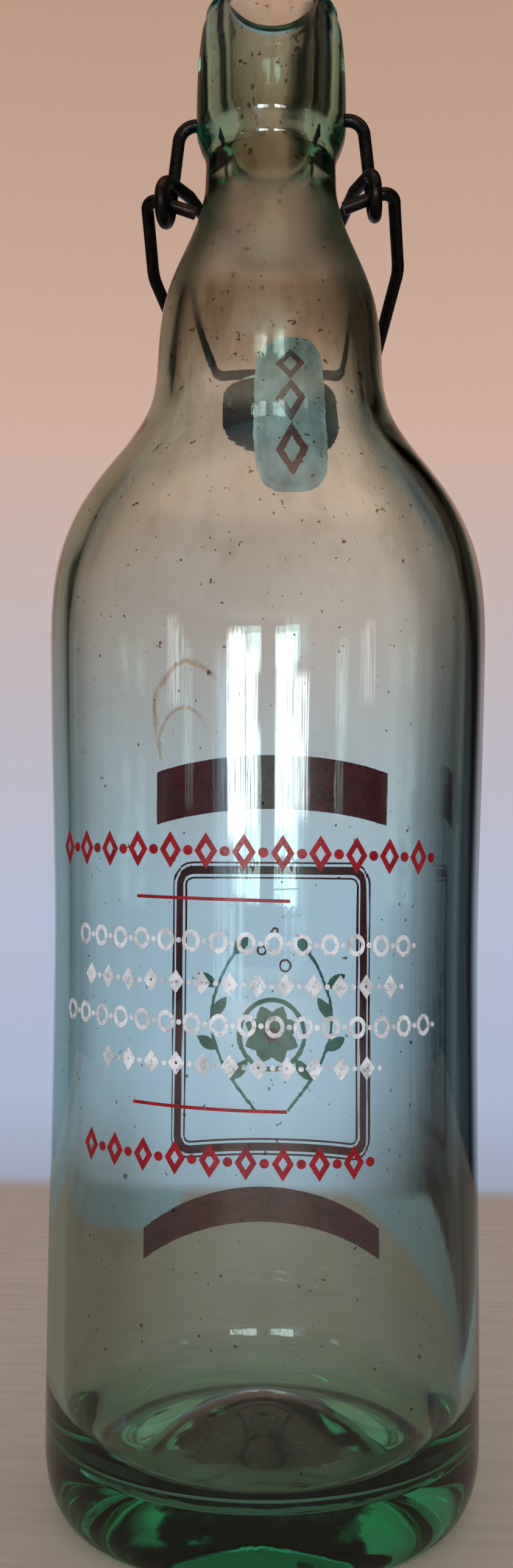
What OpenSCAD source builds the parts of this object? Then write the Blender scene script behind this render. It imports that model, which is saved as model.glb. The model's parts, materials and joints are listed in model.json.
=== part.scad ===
/* [Bottle] */
// Height of the bottle from the table to the top of the lip
bottle_h = 303.5; // [295:0.5:315]
// Greatest diameter, just below the shoulder
body_d = 88.1; // [82:0.1:96]
// Diameter of the slim middle of the body
waist_d = 86; // [80:0.1:92]
// Diameter of the body just above the heel
foot_d = 87.9; // [82:0.1:96]
// Diameter of the bulb in the neck
bulb_d = 45.8; // [40:0.1:52]
// Diameter of the neck under the collar
neck_d = 26.5; // [25:0.1:29]
// Diameter of the collar that carries the closure
collar_d = 30.6; // [29:0.1:34]
// Diameter of the lip at its top edge
lip_d = 27; // [25:0.1:28.5]
// Diameter of the bore in the mouth
bore_d = 17; // [16:0.1:18]

/* [Glass] */
// Wall of the body
body_wall = 3.6; // [3:0.1:6]
// Wall of the bulb
bulb_wall = 3.7; // [3:0.1:5]
// Height of the inner floor at its lowest ring
floor_z = 12; // [9:0.5:16]
// Rise of the inner floor at its centre
floor_rise = 9; // [5:0.5:14]
// Height of the push-up under the base
pushup_h = 11; // [5:0.5:13]
// Outer diameter of the ring that the bottle stands on
ring_d = 77; // [70:0.5:78]
// Width of the ring that the bottle stands on
ring_w = 4; // [2:0.5:6]

/* [Heights] */
// Drop from the top of the lip to the lever's pivots in the collar
pivot_drop = 22.5; // [20:0.5:25]
// Drop from the top of the lip to the middle of the bulb
bulb_drop = 71; // [69:0.5:76]
// Drop from the top of the lip to where the shoulder meets the body
shoulder_drop = 127.5; // [120:0.5:138]
// Share of the body's height at which it is slimmest
waist_share = 0.642; // [0.55:0.01:0.75]
// Height of the rounded heel
heel_h = 13; // [8:0.5:18]

/* [Closure] */
// Diameter of the closure's wire
wire_d = 2.6; // [2.2:0.1:2.8]
// Depth of the sockets in the collar
socket_depth = 2.6; // [1.5:0.1:3.5]
// Drop from the lever's pivots to the centres of its eyes
eye_drop = 17.2; // [15:0.1:19]
// Radius of an eye, at the middle of its wire
eye_r = 3.7; // [3.5:0.1:4.2]
// Distance from the collar's side to the middle of an eye
eye_out = 6.4; // [5.8:0.1:8]
// Reach of the thumb loop behind the bottle's axis
thumb_reach = 27; // [24:0.5:32]
// Width of the thumb loop at its tip
thumb_w = 18; // [14:0.5:22]
// Length of the bail from its hooks to its bridge
bail_len = 50.5; // [49:0.1:53]
// Width of the bail's bridge
bridge_w = 38; // [36:0.5:42]
// Width that the bail's arms bow out beyond its hooks, on each side
bail_bow = 1; // [0:0.1:2]

/* [Stopper] */
// Diameter of the rubber gasket
gasket_d = 33; // [28:0.1:33.5]
// Thickness of the rubber gasket
gasket_t = 5.8; // [4:0.1:6.5]
// Diameter of the stopper's head
head_d = 14; // [11:0.1:15.5]
// Height of the head above its hole
head_rise = 5.2; // [4:0.1:6.5]
// Diameter of the flange that presses the gasket
flange_d = 25; // [20:0.5:27]
// Distance from the head's hole to the gasket's seat on the lip
seat_drop = 10.4; // [9.8:0.1:11]
// Diameter of the nose that enters the mouth
nose_d = 15; // [13:0.1:15.5]
// Length of the nose below the gasket
nose_len = 7.6; // [5:0.1:10]

/* [Hidden] */
$fn = 96;

// Clearances, overruns and the facets of a wire
running_gap = 0.3;
side_gap = 0.8;
seat_gap = 0.1;
overrun = 1;
wire_fn = 36;

// A straight run of wire is drawn this much thinner than a bend and runs this far into it
run_step = 0.02;
run_lap = 0.2;

// Radii
body_r = body_d / 2;
waist_r = waist_d / 2;
foot_r = foot_d / 2;
bulb_r = bulb_d / 2;
neck_r = neck_d / 2;
collar_r = collar_d / 2;
lip_r = lip_d / 2;
bore_r = bore_d / 2;
ring_r = ring_d / 2;
wire_r = wire_d / 2;
pivot_hole_r = wire_r + running_gap;
gasket_r = gasket_d / 2;
head_r = head_d / 2;
flange_r = flange_d / 2;
nose_r = nose_d / 2;

// Rounded edges of the lip, the collar's straight band round the pivots, its foot and the slim neck below it
lip_round = 1.6;
mouth_round = 1.2;
collar_band = 1.6;
collar_foot = 8;
slim_neck = 2.9;
pivot_z = bottle_h - pivot_drop;
bulb_z = bottle_h - bulb_drop;
shoulder_z = bottle_h - shoulder_drop;
waist_z = waist_share * shoulder_z;
collar_end_z = pivot_z - collar_band - collar_foot;
neck_z = collar_end_z - slim_neck;

// Each pair is a share of the change in radius and a share of the drop, from the upper place to the lower one
lip_shares = [[0, 0], [0.42, 0.16], [0.75, 0.42], [0.93, 0.7], [1, 1]];
collar_shares = [[0, 0], [0.1, 0.22], [0.45, 0.5], [0.9, 0.8], [1, 1]];
neck_shares = [[0, 0], [0.21, 0.27], [0.56, 0.48], [0.84, 0.68], [0.96, 0.87], [1, 1]];
shoulder_shares = [[0, 0], [0.022, 0.12], [0.148, 0.26], [0.415, 0.395], [0.672, 0.525], [0.852, 0.66],
    [0.957, 0.8], [1, 1]];

// Inside of the glass, which follows the outside a little lower down
inner_body_r = body_r - body_wall;
inner_waist_r = waist_r - body_wall;
inner_foot_r = foot_r - body_wall;
inner_bulb_r = bulb_r - bulb_wall;
inner_drop = 0.9 * body_wall;
inner_bulb_z = bulb_z - inner_drop / 2;
inner_shoulder_z = shoulder_z - inner_drop;
floor_r = 0.78 * inner_foot_r;
floor_corner_z = floor_z + 1.1 * floor_z;
bore_end_z = neck_z + collar_foot / 2;
pushup_r = ring_r - ring_w;

// Steps along a stretch of outline, and steps round a corner
stretch_steps = 5;
corner_steps = 10;

// A smooth curve through places, each a radius and a height, that runs straight up at both ends
function rise(p, i) = (p[i + 1][0] - p[i][0]) / (p[i + 1][1] - p[i][1]);
function lean(p, i) =
    (i == 0 || i == len(p) - 1) ? 0
    : let (a = rise(p, i - 1), b = rise(p, i)) a * b <= 0 ? 0 : 2 * a * b / (a + b);
function cubic(a, b, lean_a, lean_b, t) =
    let (h = b[1] - a[1])
    [(2 * pow(t, 3) - 3 * pow(t, 2) + 1) * a[0] + (pow(t, 3) - 2 * pow(t, 2) + t) * h * lean_a
     + (3 * pow(t, 2) - 2 * pow(t, 3)) * b[0] + (pow(t, 3) - pow(t, 2)) * h * lean_b, a[1] + t * h];
function smooth(p) =
    [for (i = [0 : len(p) - 2], k = [0 : stretch_steps - 1])
        cubic(p[i], p[i + 1], lean(p, i), lean(p, i + 1), k / stretch_steps)];

// The places that a table of shares gives between an upper and a lower one, and a list turned round
function between(upper, lower, shares) =
    [for (s = shares) [upper[0] + s[0] * (lower[0] - upper[0]), upper[1] + s[1] * (lower[1] - upper[1])]];
function turned(p) = [for (i = [len(p) - 1 : -1 : 0]) p[i]];

// An arc of an ellipse round a centre, from one angle to another
function corner(centre, across, along, from, to) =
    [for (k = [0 : corner_steps]) let (a = from + (to - from) * k / corner_steps)
        [centre[0] + across * cos(a), centre[1] + along * sin(a)]];

// A dome that is h high at the axis and level at its rim, drawn from one share of the rim's radius to another
function dome(rim_r, z, h, from, to) =
    [for (k = [0 : corner_steps]) let (r = rim_r * (from + (to - from) * k / corner_steps))
        [r, z + h * (1 + cos(180 * r / rim_r)) / 2]];

// The outside from the top of the lip down to the middle of the push-up, and the inside from the floor up
outer_outline = concat(
    corner([lip_r - lip_round, bottle_h - lip_round], lip_round, lip_round, 90, 9),
    smooth(between([lip_r, bottle_h - lip_round], [collar_r, pivot_z + collar_band], lip_shares)),
    [[collar_r, pivot_z + collar_band]],
    smooth(between([collar_r, pivot_z - collar_band], [neck_r, collar_end_z], collar_shares)),
    [[neck_r, collar_end_z]],
    smooth(between([neck_r, neck_z], [bulb_r, bulb_z], neck_shares)),
    smooth(between([bulb_r, bulb_z], [body_r, shoulder_z], shoulder_shares)),
    smooth([[body_r, shoulder_z], [waist_r, waist_z], [foot_r, heel_h]]),
    corner([ring_r, heel_h], foot_r - ring_r, heel_h, 0, -90),
    dome(pushup_r, 0, pushup_h, 1, 0));
inner_outline = concat(
    dome(floor_r, floor_z, floor_rise, 0, 0.95),
    corner([floor_r, floor_corner_z], inner_foot_r - floor_r, floor_corner_z - floor_z, -90, -9),
    smooth([[inner_foot_r, floor_corner_z], [inner_waist_r, waist_z], [inner_body_r, inner_shoulder_z]]),
    smooth(turned(between([inner_bulb_r, inner_bulb_z], [inner_body_r, inner_shoulder_z], shoulder_shares))),
    smooth(turned(between([bore_r, bore_end_z], [inner_bulb_r, inner_bulb_z], neck_shares))),
    [[bore_r, bore_end_z]],
    corner([bore_r + mouth_round, bottle_h - mouth_round], mouth_round, mouth_round, 180, 90));

// Greatest radius of the glass between two heights, looked for a little past both
function glass_r(low, high) =
    max([for (p = outer_outline) if (p[1] > low - side_gap * 2 && p[1] < high + side_gap * 2) p[0]]);

// Places of the eyes
eye_x = collar_r + eye_out;
eye_y = -eye_r;
eye_z = pivot_z - eye_drop;
eye_bend = eye_r - running_gap;

// The lever's right half, from its pivot in the collar, round the eye and back to the thumb loop
pivot_in = collar_r - socket_depth + running_gap;
arm_x = collar_r + 2.6 * wire_r;
arm_bend = 2.8 * wire_r;
cross_x = eye_x - 3.6 * wire_r;
cross_y = 1.4 * wire_r;
thumb_x = thumb_w / 2;
thumb_z = eye_z - wire_r;
thumb_bend = 3.4 * wire_r;
lever_half = [
    [pivot_in, 0, pivot_z],
    [arm_x, 0, pivot_z],
    [eye_x - 0.4 * wire_r, 0, eye_z - eye_r],
    [eye_x, 2 * eye_y, eye_z - eye_r],
    [eye_x - 0.3 * wire_r, 2 * eye_y, eye_z + eye_r],
    [cross_x, cross_y, eye_z + eye_r - 0.2 * wire_r],
    [thumb_x, thumb_reach, thumb_z]];
lever_bends = [arm_bend, eye_bend, eye_bend, eye_bend, 4 * wire_r, thumb_bend];

// The open bail hangs until the gasket leans on the glass, which a few rounds of looking find
function drop_at(y) = sqrt(pow(bail_len, 2) - pow(y - eye_y, 2));
function bridge_at(y, rounds) =
    rounds == 0 ? y
    : let (seat = eye_z - drop_at(y) - seat_drop)
        bridge_at(glass_r(seat, seat + gasket_t) + gasket_r + running_gap, rounds - 1);
bridge_y = bridge_at(bulb_r + gasket_r + running_gap, 6);
bridge_z = eye_z - drop_at(bridge_y);
bail_way = [0, bridge_y - eye_y, bridge_z - eye_z] / bail_len;

// The bail's right half, from the cut end of its hook, through the eye and along the arm to the bridge
hook_slope = 0.36;
hook_in = eye_x - 5.1 * wire_r;
hook_out = eye_x + 2.6 * wire_r;
hook_bend = 2 * wire_r;
bow_share = 0.36;
bow_bend = 11 * wire_r;
bridge_bend = 2.7 * wire_r;
function along_bail(x, share) = [x, eye_y, eye_z] + bail_way * bail_len * share;
bail_half = [
    [hook_in, eye_y, eye_z - (eye_x - hook_in) * hook_slope],
    [hook_out, eye_y, eye_z + (hook_out - eye_x) * hook_slope],
    along_bail(hook_out + bail_bow, bow_share),
    along_bail(bridge_w / 2, 1)];
bail_bends = [hook_bend, bow_bend, bridge_bend];

// The stopper's outline about its own axis, measured from the hole in its head
flange_t = 1.7;
edge_round = 0.7;
flange_low = gasket_t - seat_drop;
flange_top = flange_low + flange_t;
stem_r = 0.74 * nose_r;
nose_top = -seat_drop - seat_gap;
nose_tip = nose_top - nose_len;
nose_tip_r = 0.72 * nose_r;
nose_round = 0.2 * nose_r;
head_foot = 0.4 * flange_top;
stopper_outline = concat(
    corner([0, 0], head_r, head_rise, 90, 0),
    corner([flange_r - edge_round, head_foot], head_r - flange_r + edge_round, flange_top - head_foot, 0, 90),
    corner([flange_r - edge_round, flange_top - edge_round], edge_round, edge_round, 90, 0),
    [[flange_r, flange_low], [stem_r, flange_low], [stem_r, nose_top]],
    corner([nose_r - nose_round, nose_top - nose_round], nose_round, nose_round, 90, 0),
    corner([nose_tip_r - nose_round, nose_tip + nose_round], nose_round, nose_round, 0, -90),
    [[0, nose_tip]]);
gasket_round = 0.3 * gasket_t;
gasket_outline = concat(
    [[stem_r + seat_gap, -seat_drop], [stem_r + seat_gap, flange_low]],
    corner([gasket_r - gasket_round, flange_low - gasket_round], gasket_round, gasket_round, 90, 0),
    corner([gasket_r - gasket_round, gasket_round - seat_drop], gasket_round, gasket_round, 0, -90));

// Straight and bent pieces of round wire
function unit(v) = v / norm(v);
function bend_angle(a, b, c) = acos(unit(b - a) * unit(c - b));
function bend_reach(a, b, c, bend_r) = bend_r * tan(bend_angle(a, b, c) / 2);

module placed(x, y, z, at) {
    multmatrix([[x[0], y[0], z[0], at[0]], [x[1], y[1], z[1], at[1]], [x[2], y[2], z[2], at[2]], [0, 0, 0, 1]])
        children();
}

module straight_wire(a, b) {
    way = unit(b - a);
    side = unit(cross(way, abs(way[2]) < 0.7 ? [0, 0, 1] : [0, 1, 0]));
    placed(side, cross(way, side), way, a) cylinder(r = wire_r - run_step, h = norm(b - a), $fn = wire_fn);
}

module bent_corner(a, b, c, bend_r) {
    way = unit(b - a);
    next = unit(c - b);
    inward = unit(next - (way * next) * way);
    start = b - way * bend_reach(a, b, c, bend_r);
    placed(-inward, way, cross(-inward, way), start + inward * bend_r)
        rotate_extrude(angle = bend_angle(a, b, c)) translate([bend_r, 0]) circle(r = wire_r, $fn = wire_fn);
}

// A wire that is bent at each place but the first and the last
module bent_wire(p, bends) {
    last = len(p) - 1;
    for (i = [0 : last - 1]) {
        way = unit(p[i + 1] - p[i]);
        leave = i == 0 ? 0 : bend_reach(p[i - 1], p[i], p[i + 1], bends[i - 1]) - run_lap;
        arrive = i == last - 1 ? 0 : bend_reach(p[i], p[i + 1], p[i + 2], bends[i]) - run_lap;
        straight_wire(p[i] + way * leave, p[i + 1] - way * arrive);
    }
    for (i = [1 : last - 1]) bent_corner(p[i - 1], p[i], p[i + 1], bends[i - 1]);
}

// A wire whose left half mirrors its right half
module paired_wire(half, bends) {
    bent_wire(concat(half, [for (p = turned(half)) [-p[0], p[1], p[2]]]), concat(bends, turned(bends)));
}

module bottle() {
    color("darkseagreen") difference() {
        rotate_extrude() polygon(concat(outer_outline, inner_outline));
        for (side = [0, 180]) rotate([0, 0, side]) translate([collar_r - socket_depth, 0, pivot_z])
            rotate([0, 90, 0]) cylinder(r = pivot_hole_r, h = socket_depth + overrun, $fn = wire_fn);
    }
}

module lever_wire() {
    color("dimgray") paired_wire(lever_half, lever_bends);
}

module bail_wire() {
    color("dimgray") paired_wire(bail_half, bail_bends);
}

module stopper() {
    color("ivory") translate([0, bridge_y, bridge_z]) difference() {
        rotate_extrude() polygon(stopper_outline);
        translate([-head_r - overrun, 0, 0]) rotate([0, 90, 0])
            cylinder(r = pivot_hole_r, h = 2 * (head_r + overrun), $fn = wire_fn);
    }
}

module gasket() {
    color("saddlebrown") translate([0, bridge_y, bridge_z]) rotate_extrude() polygon(gasket_outline);
}

bottle();
lever_wire();
bail_wire();
stopper();
gasket();
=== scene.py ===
"""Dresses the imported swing-top soda bottle: green glass, fired prints, dark wires, and a pale room."""

import json
from math import ceil, cos, dist, pi, radians, sin

import bmesh
import bpy
from bpy.props import FloatProperty, FloatVectorProperty, PointerProperty
from mathutils import Matrix, Vector


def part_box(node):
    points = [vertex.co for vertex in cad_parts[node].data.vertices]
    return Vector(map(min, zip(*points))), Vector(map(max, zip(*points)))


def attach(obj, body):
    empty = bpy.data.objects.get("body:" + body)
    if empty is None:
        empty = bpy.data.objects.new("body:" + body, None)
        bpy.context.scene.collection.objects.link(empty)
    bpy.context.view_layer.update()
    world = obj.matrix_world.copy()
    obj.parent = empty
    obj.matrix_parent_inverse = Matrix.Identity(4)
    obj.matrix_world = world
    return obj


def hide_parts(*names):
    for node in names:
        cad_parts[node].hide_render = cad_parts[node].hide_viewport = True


bl_info = {
    "name": "Swing-Top Soda Bottle",
    "version": (1, 0, 0),
    "blender": (4, 5, 0),
    "location": "View3D > Sidebar > Soda Bottle",
    "description": "Dresses a swing-top soda bottle with glass, prints and wire finishes",
    "category": "Object",
}

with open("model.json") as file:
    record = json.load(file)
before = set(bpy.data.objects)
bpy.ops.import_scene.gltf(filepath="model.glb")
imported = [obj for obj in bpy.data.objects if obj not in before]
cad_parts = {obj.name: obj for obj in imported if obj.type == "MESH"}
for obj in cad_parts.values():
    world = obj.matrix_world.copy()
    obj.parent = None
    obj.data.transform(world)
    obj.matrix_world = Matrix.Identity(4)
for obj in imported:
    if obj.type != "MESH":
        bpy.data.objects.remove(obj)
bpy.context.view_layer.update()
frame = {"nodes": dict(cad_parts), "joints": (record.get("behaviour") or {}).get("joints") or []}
glass_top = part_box("bottle")[1].z
pivot = Vector(frame["joints"][0]["pos_m"])
MM = 0.001


def length(description, default):
    """A size in metres that the sidebar shows as a length."""
    return FloatProperty(description=description, default=default, unit="LENGTH", precision=5)


def angle(description, degrees):
    """An angle that the sidebar shows in degrees."""
    return FloatProperty(description=description, default=radians(degrees), unit="ROTATION")


def number(description, default):
    """A plain number."""
    return FloatProperty(description=description, default=default)


def colour(description, default):
    """A plain colour in linear light."""
    return FloatVectorProperty(description=description, default=default, subtype="COLOR", min=0, max=1)


class SodaGlassSizes(bpy.types.PropertyGroup):
    """Sizes and tint of the glass bottle."""

    body: length("Greatest diameter of the body", 88.1 * MM)
    waist: length("Diameter of the slim middle of the body", 86 * MM)
    foot: length("Diameter just above the heel", 87.9 * MM)
    bulb: length("Diameter of the bulb in the neck", 45.8 * MM)
    neck: length("Diameter of the neck under the collar", 26.5 * MM)
    collar: length("Diameter of the collar", 30.6 * MM)
    lip: length("Diameter of the lip at its top edge", 27 * MM)
    bore: length("Diameter of the bore in the mouth", 17 * MM)
    ring: length("Outer diameter of the ring that the bottle stands on", 77 * MM)
    ring_width: length("Width of the ring that the bottle stands on", 4 * MM)
    wall: length("Thickness of the body's wall", 3.6 * MM)
    bulb_wall: length("Thickness of the bulb's wall", 3.7 * MM)
    floor: length("Height of the inner floor at its lowest ring", 12 * MM)
    floor_rise: length("Rise of the inner floor at its centre", 9 * MM)
    pushup: length("Height of the push-up under the base", 11 * MM)
    bulb_height: length("Height of the bulb", 232.5 * MM)
    shoulder_height: length("Height where the shoulder meets the body", 176 * MM)
    waist_height: length("Height of the slimmest place of the body", 113 * MM)
    heel: length("Height of the rounded heel", 13 * MM)
    tint: colour("Colour that thick glass takes", (0.08, 0.82, 0.64))
    depth: number("Strength of the tint for each metre", 52)
    ripple: number("Strength of the streaks in the surface", 0.12)
    film: number("Share of dried film on the neck's glass", 0.6)
    # silt: painted shade that darkens the glass over the floor, in the film's colour
    silt: number("Share of dried film over the floor", 0.22)
    # edge: painted shade that darkens the glass at its slanting edges and low sides, in the film's colour
    edge: number("Share of film that a slanting look adds", 0.42)


class SodaPrintSizes(bpy.types.PropertyGroup):
    """Sizes and colours of the fired enamel prints."""

    tilt: number("Rise of a row for each length to the right", -0.022)
    film: length("Thickness of the enamel", 0.12 * MM)
    sink: length("Depth of the enamel's root in the glass", 0.04 * MM)
    band: length("Height of the upper band", 12.6 * MM)
    band_width: length("Width of the upper band", 60 * MM)
    panel_width: length("Width of the framed panel", 51 * MM)
    panel_height: length("Height of the framed panel", 68 * MM)
    red: colour("Enamel of the large rows and the rules", (0.33, 0.008, 0.016))
    maroon: colour("Enamel of the bands and the frame", (0.19, 0.011, 0.02))
    white: colour("Enamel of the small rows", (0.75, 0.76, 0.8))
    sage: colour("Enamel of the plant ornament", (0.08, 0.17, 0.165))
    pale: colour("Backing of the neck patch", (0.61, 0.42, 0.5))


class SodaClosureSizes(bpy.types.PropertyGroup):
    """Finish of the wires, the stopper and the gasket."""

    steel: colour("Oxidised wire", (0.016, 0.014, 0.014))
    rust: colour("Brown bloom on the wire", (0.034, 0.02, 0.015))
    porcelain: colour("Glaze of the stopper", (0.84, 0.82, 0.75))
    rubber: colour("Aged rubber of the gasket", (0.05, 0.032, 0.026))


class SodaStageSizes(bpy.types.PropertyGroup):
    """Camera, panes, table and room."""

    azimuth: angle("Camera's turn round the bottle", 5)
    distance: length("Camera's distance from the bottle's axis", 0.305)
    eye: length("Height of the camera", 131.4 * MM)
    lens: number("Focal length on a 36 mm frame", 34.17)
    roll: angle("Camera's lean", 0.39)
    table_back: length("Distance from the axis to the table's back edge", 0.293)
    table: colour("Colour of the table", (0.51, 0.4, 0.335))
    lamp: number("Radiance of the window panes", 15)
    fill: number("Level of the room's own light", 0.55)


def give(made, inputs):
    """Sets or links a node's inputs."""
    for key, value in inputs.items():
        if isinstance(value, bpy.types.NodeSocket):
            made.id_data.links.new(value, made.inputs[key])
        else:
            made.inputs[key].default_value = value


def node(tree, kind, inputs=None, **settings):
    """Adds a node, applies its settings, and sets or links its inputs."""
    made = tree.nodes.new(kind)
    for key, value in settings.items():
        setattr(made, key, value)
    give(made, inputs or {})
    return made


def result(kind, inputs, out=0, **settings):
    """One output of a new node, which goes where its inputs come from."""
    tree = next(value.id_data for value in inputs.values() if isinstance(value, bpy.types.NodeSocket))
    return node(tree, kind, inputs, **settings).outputs[out]


def sums(operation, *values):
    """The result of one Math node."""
    return result("ShaderNodeMath", dict(enumerate(values)), operation=operation)


def times(first, second):
    """The product of two values."""
    return sums("MULTIPLY", first, second)


def plus(first, second):
    """The sum of two values."""
    return sums("ADD", first, second)


def minus(first, second):
    """The difference of two values."""
    return sums("SUBTRACT", first, second)


def axes(place):
    """The X, Y and Z of a place."""
    return node(place.id_data, "ShaderNodeSeparateXYZ", {0: place}).outputs


def gap(first, second):
    """How far apart two values are."""
    return sums("ABSOLUTE", minus(first, second))


def vector(**parts):
    """A vector from its X, Y and Z, each zero where it isn't given."""
    return result("ShaderNodeCombineXYZ", parts)


def distance(x, y):
    """The length of a step along two axes."""
    step = {0: vector(X=x, Y=y)}
    return result("ShaderNodeVectorMath", step, "Value", operation="LENGTH")


def scaled(given, share):
    """A vector or a colour times a number."""
    return result("ShaderNodeVectorMath", {0: given, "Scale": share}, operation="SCALE")


def blend_colours(share, first, second, kind="MIX"):
    """The result of one Mix node on two colours."""
    inputs = {0: share, 6: first, 7: second}
    return result("ShaderNodeMix", inputs, 2, data_type="RGBA", blend_type=kind)


def ramp(value, low, high, to_low=0.0, to_high=1.0):
    """A value carried from one range to another with soft ends."""
    span = {"Value": value, "From Min": low, "From Max": high, "To Min": to_low, "To Max": to_high}
    return result("ShaderNodeMapRange", span, "Result", interpolation_type="SMOOTHSTEP")


def opaque(rgb):
    """A colour with full alpha."""
    return (rgb[0], rgb[1], rgb[2], 1.0)


def surface(name):
    """A new material, its Principled shader and a place on the piece that wears it."""
    material = bpy.data.materials.new(name)
    material.use_nodes = True
    place = node(material.node_tree, "ShaderNodeTexCoord").outputs["Object"]
    return material, material.node_tree.nodes["Principled BSDF"], place


def grain(place, scale, detail, stretch=(1, 1, 1)):
    """Noise over the piece, drawn out along an axis where stretch is small."""
    moved = result("ShaderNodeMapping", {"Vector": place, "Scale": stretch})
    return result("ShaderNodeTexNoise", {"Vector": moved, "Scale": scale, "Detail": detail}, "Fac")


def bump(shader, height, strength, reach):
    """Raises the surface by a height."""
    raised = result("ShaderNodeBump", {"Height": height, "Strength": strength, "Distance": reach})
    give(shader, {"Normal": raised})


# What lies on the glass, and what light keeps of its colour in the bottle's shadow
CLEAR = (1, 1, 1, 1)
DRIED_FILM = (0.42, 0.31, 0.19, 1)
SMEAR = (0.36, 0.27, 0.15, 1)
DRIED_DRIP = (0.66, 0.34, 0.1, 1)
SPECK = (0.1, 0.06, 0.03, 1)
IN_SHADOW = (0.8, 0.83, 0.81, 1)
GLASS_IOR = 1.52


def glass_film(place, sizes, high):
    """The share of dried film on the neck and in thin clouds, and of painted shade over the floor."""
    x, y, z = axes(place)
    away = distance(x, y)
    within = ramp(away, sizes.foot / 2 - 0.3 * sizes.wall, sizes.foot / 2 - 0.7 * sizes.wall)
    # Painted shade over the floor, laid on as film
    deep = times(ramp(z, 4.5 * sizes.floor, sizes.floor), within)
    on_lip = ramp(z, pivot.z - 6 * MM, pivot.z + 6 * MM, sizes.film, 0.55 * sizes.film)
    film = plus(times(high, on_lip), times(deep, sizes.silt))
    cloud = grain(place, 60, 6)
    film = times(film, ramp(cloud, 0.25, 0.75, 0.7, 1.15))
    return plus(film, ramp(cloud, 0.5, 0.75, 0.02, 0.1))


def painted_edge_shade(z, sizes):
    """Painted edge shade: film colour where the glass is seen at a slant, more of it low on the body."""
    facing = node(z.id_data, "ShaderNodeLayerWeight", {"Blend": 0.5}).outputs["Facing"]
    lower = times(ramp(z, 90 * MM, 60 * MM), ramp(facing, 0.0, 0.34, 0.0, 0.5))
    edge_shade_share = sums("MAXIMUM", ramp(facing, 0.3, 0.9, 0.0, sizes.edge), lower)
    return times(edge_shade_share, ramp(z, sizes.heel, 3 * sizes.heel))


def stained_and_shaded_colour(place, sizes, high, film):
    """What film, smears, drips, specks and painted shade leave of the glass's clear colour."""
    z = axes(place)["Z"]
    shoulder = ramp(z, sizes.shoulder_height, sizes.shoulder_height + 35 * MM)
    limit = minus(0.735, times(plus(high, shoulder), 0.024))
    specks = ramp(minus(grain(place, 520, 2), limit), 0.0, 0.025)
    smears = ramp(grain(place, 150, 6, (1, 1, 0.45)), 0.54, 0.66, 0.0, 0.5)
    smears = times(smears, sums("MAXIMUM", high, times(shoulder, 0.45)))
    stained_and_shaded = blend_colours(plus(film, painted_edge_shade(z, sizes)), CLEAR, DRIED_FILM)
    stained_and_shaded = blend_colours(smears, stained_and_shaded, SMEAR)
    stained_and_shaded = blend_colours(drip(place), stained_and_shaded, DRIED_DRIP)
    return blend_colours(specks, stained_and_shaded, SPECK)


def glass_material(sizes):
    """Pressed green glass: streaks, dust, specks, painted shade, and a shadow that lets light through."""
    material, shader, place = surface("aqua_glass")
    streaks = grain(place, 240, 4, (1, 1, 0.035))
    waves = grain(place, 34, 2, (1, 1, 0.3))
    bump(shader, plus(times(streaks, 0.25), waves), sizes.ripple, 0.5 * MM)
    z = axes(place)["Z"]
    high = ramp(z, sizes.bulb_height - 15 * MM, sizes.bulb_height + 11 * MM)
    film = glass_film(place, sizes, high)
    etched = ramp(gap(z, sizes.bulb_height + 21 * MM), 13 * MM, 7 * MM, 0.0, 0.2)
    rough = plus(ramp(film, 0.1, 0.6, 0.012, 0.07), etched)
    give(shader, {"Base Color": stained_and_shaded_colour(place, sizes, high, film), "Roughness": rough})
    give(shader, {"IOR": GLASS_IOR, "Transmission Weight": 1})
    tree = material.node_tree
    shadow = node(tree, "ShaderNodeLightPath").outputs["Is Shadow Ray"]
    clear = node(tree, "ShaderNodeBsdfTransparent", {"Color": IN_SHADOW}).outputs[0]
    mixed = result("ShaderNodeMixShader", {0: shadow, 1: shader.outputs[0], 2: clear})
    tint = node(tree, "ShaderNodeVolumeAbsorption", {"Color": opaque(sizes.tint), "Density": sizes.depth})
    give(tree.nodes["Material Output"], {"Surface": mixed, "Volume": tint.outputs[0]})
    return material


# The colours of the painted shade under the base, mottled like grime
BASE_SHADE_DARK = (0.012, 0.01, 0.007, 1)
BASE_SHADE_PALE = (0.05, 0.037, 0.024, 1)


def base_shade_material(sizes):
    """Painted shade under the base: nearly black brown, closed at the middle and the rim, broken between."""
    material, shader, place = surface("painted_base_shade")
    x, y, _ = axes(place)
    away = distance(x, y)
    ring = sizes.ring / 2
    middle = ramp(away, 0.52 * ring, 0.24 * ring, 0.0, 0.36)
    rim = ramp(away, 0.8 * ring, 0.95 * ring, 0.0, 0.36)
    rim = times(rim, ramp(gap(x, 8 * MM), 32 * MM, 22 * MM))
    cloud = plus(grain(place, 110, 6), plus(middle, rim))
    brown = blend_colours(ramp(grain(place, 700, 4), 0.4, 0.7), BASE_SHADE_DARK, BASE_SHADE_PALE)
    give(shader, {"Base Color": brown, "Alpha": ramp(cloud, 0.62, 0.76)})
    give(shader, {"Roughness": 0.85, "Specular IOR Level": 0.2})
    return material


# Each drip's arch: its middle in X and Z, and its half width and height
DRIPS = ((-10.3 * MM, 156 * MM, 6.4 * MM, 9.5 * MM), (-11.2 * MM, 150.5 * MM, 4.6 * MM, 6.8 * MM))


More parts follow.
